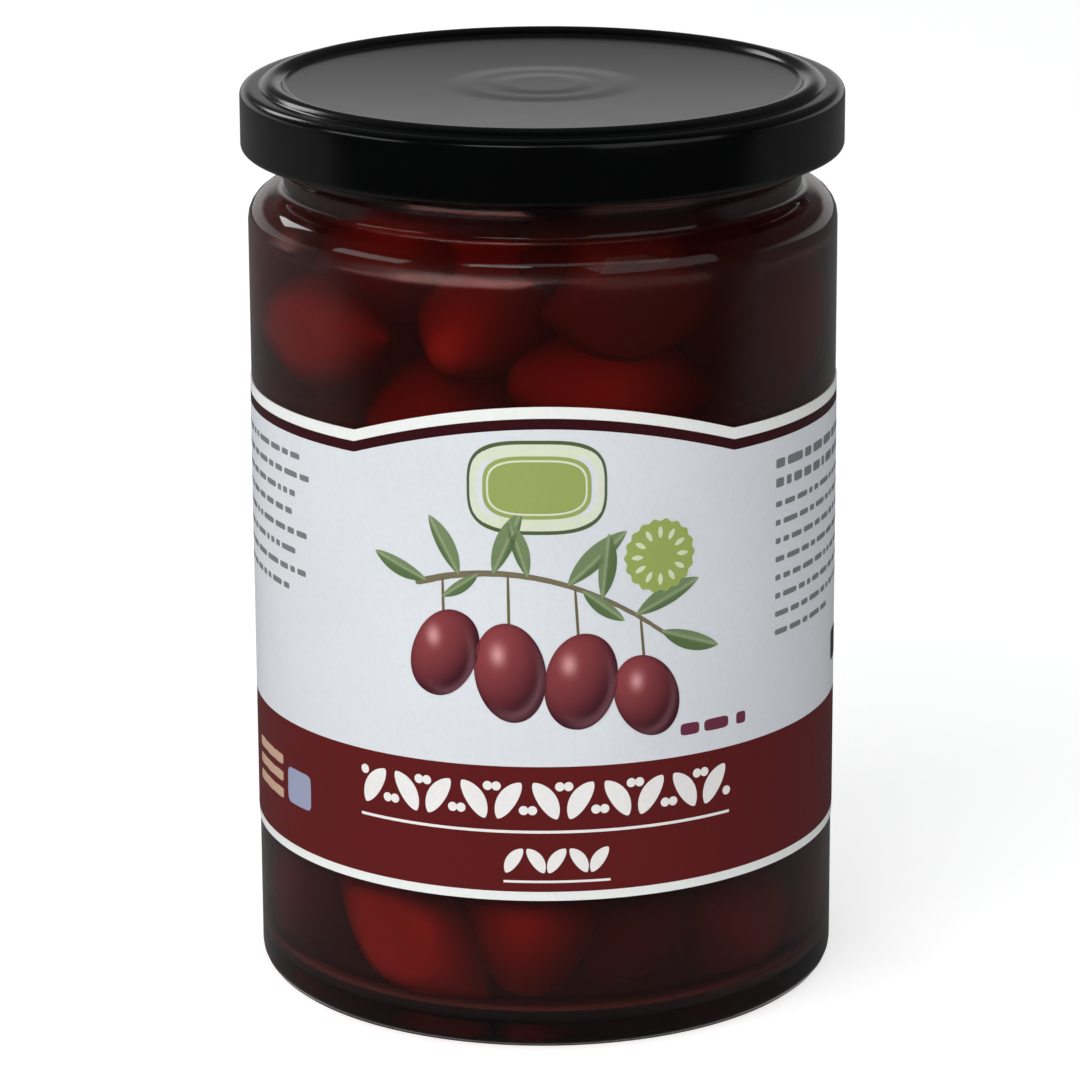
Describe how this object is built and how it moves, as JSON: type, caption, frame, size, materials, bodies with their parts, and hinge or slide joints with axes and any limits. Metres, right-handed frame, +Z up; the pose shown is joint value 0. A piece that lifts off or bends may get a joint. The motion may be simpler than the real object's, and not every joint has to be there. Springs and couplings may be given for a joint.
{
  "type": "jar of olives",
  "caption": "Clear glass twist-off jar of whole dark olives in brine, with a pressed metal lid and a wrapped paper label that has a low arch in front.",
  "frame": {"origin": "on the table under the jar's axis, at the centre of the standing ring", "axes": "+Z up along the jar's axis; the middle of the label faces -Y"},
  "size_m": [0.074, 0.074, 0.1135],
  "materials": {
    "glass": "clear pressed flint glass, smooth",
    "lid": "gloss black lacquer on pressed tinplate",
    "label": "coated paper, satin, printed in flat colours",
    "olives": "dark wine-red olive skin, wet and glossy",
    "brine": "clear dark wine-red brine"
  },
  "bodies": {
    "root": {"jar": "glass", "lid": "lid", "label": "label", "olives": "olives", "brine": "brine"}
  },
  "joints": []
}
